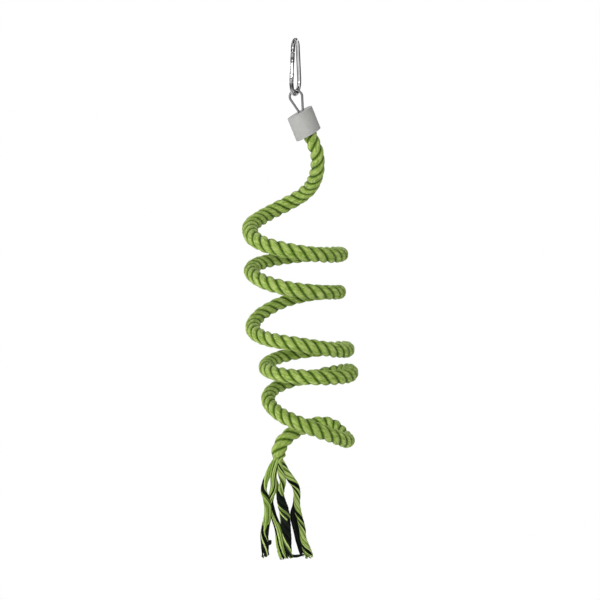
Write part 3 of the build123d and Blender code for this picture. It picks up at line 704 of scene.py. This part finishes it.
def make_strand(number):
    """Loose bundle of green and black yarns that turn left-handed, rise and sink, and fray at the end."""
    rng = random.Random(number + 1)
    line = spline_points(strand_control(number), ROUTE_RESOLUTION)
    points, step, _ = even_points(line, TASSEL_STEP)
    frames = carried_frames(points, SIDE)
    length = step * (len(points) - 1)
    shape = Shape()
    for is_black, count in ((True, BLACK_YARNS), (False, GREEN_YARNS)):
        for yarn in range(count):
            # Yarns lie to both sides of the middle of their colour in turn
            rank = (yarn + 1) // 2 * (1 if yarn % 2 else -1) + rng.uniform(-RANK_SPREAD, RANK_SPREAD)
            is_stray = rng.random() < STRAY_SHARE
            is_deep = yarn % DEEP_YARN_PERIOD == 1
            tint = rng.uniform(0, SHADE_SPREAD) + (0 if is_deep else PALE_YARN_SHADE)
            pattern = rng.uniform(0, PATTERN_RANGE)
            end = length - END_SPREAD * rng.random() ** 2
            fray_turn = rng.uniform(0, 2 * math.pi)
            rings, marks, shades = [], [], []
            for index, (across, other) in enumerate(frames):
                gone = index * step
                if gone > end + step / 2:
                    break
                share = gone / length
                black_part = between(BLACK_SHARES[number], share)
                size = between(BUNDLE_SHARES[number], share)
                part = black_part if is_black else 1 - black_part
                shown = max(SURFACE_YARNS * part, FEWEST_SURFACE_YARNS)
                rise = smooth(shown - yarn + 0.5)
                among = min(max(rank / shown, -0.5), 0.5) * part
                start = 2 * math.pi * (among if is_black else among + 0.5)
                turn = start - math.pi / 2 + 2 * math.pi * between(BLACK_TURNS[number], share, is_soft=False)
                # The other direction points to the camera, so that the yarns turn left-handed
                ray = across * math.cos(turn) - other * math.sin(turn)
                gather = GATHER_SHARE + (1 - GATHER_SHARE) * smooth(gone / GATHER_LENGTH)
                fray = smooth((gone - length + FRAY_LENGTH) / FRAY_LENGTH)
                reach = SURFACE_RADIUS * (SUNK_SHARE + (1 - SUNK_SHARE) * rise)
                reach *= size * gather * (1 + FRAY_SPREAD * fray)
                drift_across = YARN_DRIFT * noise.noise(Vector((gone * DRIFT_RATE, pattern, 0)))
                drift_other = YARN_DRIFT * noise.noise(Vector((gone * DRIFT_RATE, pattern, DRIFT_ROW)))
                loose = FRAY_DRIFT * fray * fray
                middle = points[index] + ray * reach
                middle += across * (drift_across + loose * math.cos(fray_turn))
                middle += other * (drift_other + loose * math.sin(fray_turn))
                radius = YARN_RADIUS * size * (1 - GATHER_THINNING * (1 - gather))
                radius *= 1 - FRAY_THINNING * fray
                ring = []
                for column in range(YARN_SIDES):
                    angle = 2 * math.pi * column / YARN_SIDES
                    spoke = across * math.cos(angle) + other * math.sin(angle)
                    ring.append(middle + spoke * radius)
                    marks.append((math.cos(angle), math.sin(angle) + pattern, gone))
                    # Painted shade: darker where the yarn faces into the bundle, between its neighbours
                    shades.append(tint + HOLLOW_PAINTED_SHADE * (spoke.dot(ray) - 1))
                rings.append(ring)
            shape.tube(rings, marks, shades, int(is_black != is_stray))
    strand = shape.build(f"tassel_yarns_{number + 1}", [yarn_green, yarn_black])
    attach(strand, "tassel")
    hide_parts(f"tassel_strand_{number + 1}")


def make_loose_ends():
    """Short ends of black yarn that stand off the strands and thin out to their tips."""
    shape = Shape()
    for radius, route in LOOSE_ENDS:
        line = spline_points([NECK_END + place(*spot) for spot in route], THREAD_RESOLUTION)
        points, step, _ = even_points(line, THREAD_STEP)
        radii = []
        for index in range(len(points)):
            past = (index / (len(points) - 1) - LOOSE_FULL_SHARE) / (1 - LOOSE_FULL_SHARE)
            radii.append(radius * (1 - (1 - LOOSE_TIP_SHARE) * smooth(past)))
        shape.round_tube(points, carried_frames(points, AWAY), radii, YARN_SIDES, step, LOOSE_SHADE)
    ends = shape.build("tassel_loose_ends", [yarn_black])
    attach(ends, "tassel")


rope, rope_points = make_rope()
make_core_wire()
binding = make_binding()
for number in range(len(STRAND_ROUTES)):
    make_strand(number)
make_loose_ends()

# Finish of the solids that stay
for material, names in ((hook_steel, ("snap_hook_frame", "snap_hook_gate", "gate_hinge_rivet",
                                      "gate_latch_pin", "gate_plunger")),
                        (wire_steel, ("wire_eye", "crimp_sleeve", "gate_spring")),
                        (cap_plastic, ("end_cap",))):
    for name in names:
        nodes[name].data.materials.clear()
        nodes[name].data.materials.append(material)


# Studio
def from_target(azimuth, elevation, distance):
    """Point at an azimuth and elevation in degrees round the camera's target."""
    turn, rise = math.radians(azimuth), math.radians(elevation)
    ray = Vector((math.sin(turn) * math.cos(rise), -math.cos(turn) * math.cos(rise), math.sin(rise)))
    return CAMERA_TARGET + ray * distance


def aim(thing, position):
    """Puts a lamp, board or camera at a position, facing the target."""
    thing.location = position
    thing.rotation_mode = "QUATERNION"
    thing.rotation_quaternion = (CAMERA_TARGET - position).to_track_quat("-Z", "Y")
    bpy.context.scene.collection.objects.link(thing)


def make_world():
    """Surround that is white where it is seen or mirrored, and lights the rest dimly."""
    world = bpy.data.worlds.new("studio")
    bpy.context.scene.world = world
    world.use_nodes = True
    tree = world.node_tree
    paths = tree.nodes.new("ShaderNodeLightPath")
    seen = tree.nodes.new("ShaderNodeMath")
    seen.operation = "ADD"
    tree.links.new(paths.outputs["Is Camera Ray"], seen.inputs[0])
    tree.links.new(paths.outputs["Is Glossy Ray"], seen.inputs[1])
    clear = tree.nodes.new("ShaderNodeMath")
    clear.operation = "ADD"
    clear.use_clamp = True
    tree.links.new(seen.outputs[0], clear.inputs[0])
    tree.links.new(paths.outputs["Is Transmission Ray"], clear.inputs[1])
    level = map_range(tree.nodes.new, target=(AMBIENT, 1))
    tree.links.new(clear.outputs[0], level.inputs["Value"])
    surround = tree.nodes["Background"]
    surround.inputs["Color"].default_value = WHITE
    tree.links.new(level.outputs["Result"], surround.inputs["Strength"])


def make_floor():
    """Pale disc that takes the shadow in the middle and runs into the white surround."""
    angles = [2 * math.pi * step / FLOOR_COLUMNS for step in range(FLOOR_COLUMNS)]
    rim = [(FLOOR_RADIUS * math.cos(angle), FLOOR_RADIUS * math.sin(angle), FLOOR_HEIGHT) for angle in angles]
    mesh = bpy.data.meshes.new("floor")
    mesh.from_pydata(rim, [], [tuple(range(FLOOR_COLUMNS))])
    floor = bpy.data.objects.new("floor", mesh)
    bpy.context.scene.collection.objects.link(floor)
    material, shader, add, link = new_material("floor_pale")
    shader.inputs["Base Color"].default_value = FLOOR_COLOUR
    shader.inputs["Roughness"].default_value = FLOOR_ROUGHNESS
    where = add("ShaderNodeTexCoord")
    # Distance from the middle in plan
    flat = add("ShaderNodeVectorMath", operation="MULTIPLY")
    link(where.outputs["Object"], flat.inputs[0])
    flat.inputs[1].default_value = (1, 1, 0)
    far = add("ShaderNodeVectorMath", operation="LENGTH")
    link(flat.outputs["Vector"], far.inputs[0])
    fade = map_range(add, (FLOOR_PLAIN_RADIUS, FLOOR_FADE_RADIUS), interpolation_type="SMOOTHSTEP")
    link(far.outputs["Value"], fade.inputs["Value"])
    paths = add("ShaderNodeLightPath")
    direct = add("ShaderNodeMath", operation="MAXIMUM")
    link(paths.outputs["Is Camera Ray"], direct.inputs[0])
    link(paths.outputs["Is Glossy Ray"], direct.inputs[1])
    share = add("ShaderNodeMath", operation="MULTIPLY")
    link(fade.outputs["Result"], share.inputs[0])
    link(direct.outputs[0], share.inputs[1])
    white = add("ShaderNodeEmission", Color=WHITE, Strength=1)
    mixed = add("ShaderNodeMixShader")
    link(share.outputs[0], mixed.inputs[0])
    link(shader.outputs[0], mixed.inputs[1])
    link(white.outputs[0], mixed.inputs[2])
    link(mixed.outputs[0], material.node_tree.nodes["Material Output"].inputs["Surface"])
    mesh.materials.append(material)


def make_boards():
    """Dark boards that give the polished hook its dark lines and show only in reflections."""
    material, shader, _, _ = new_material("board_dark")
    shader.inputs["Base Color"].default_value = BOARD_COLOUR
    shader.inputs["Roughness"].default_value = BOARD_ROUGHNESS
    for name, azimuth, elevation, width, height, distance in BOARDS:
        corners = [(-width / 2, -height / 2, 0), (width / 2, -height / 2, 0),
                   (width / 2, height / 2, 0), (-width / 2, height / 2, 0)]
        mesh = bpy.data.meshes.new(name)
        mesh.from_pydata(corners, [], [(0, 1, 2, 3)])
        mesh.materials.append(material)
        board = bpy.data.objects.new(name, mesh)
        aim(board, from_target(azimuth, elevation, distance))
        board.visible_camera = False
        board.visible_diffuse = False
        board.visible_shadow = False


make_world()
make_floor()
make_boards()
for name, azimuth, elevation, distance, size, power in LAMPS:
    light = bpy.data.lights.new(name, "AREA")
    light.shape = "DISK"
    light.size = size
    light.energy = power
    aim(bpy.data.objects.new(name, light), from_target(azimuth, elevation, distance))

camera_data = bpy.data.cameras.new("camera")
camera_data.lens = CAMERA_LENS
camera_data.sensor_width = SENSOR_WIDTH
camera = bpy.data.objects.new("camera", camera_data)
aim(camera, from_target(CAMERA_AZIMUTH, CAMERA_ELEVATION, CAMERA_DISTANCE))
bpy.context.scene.camera = camera
bpy.context.scene.view_settings.view_transform = "Standard"
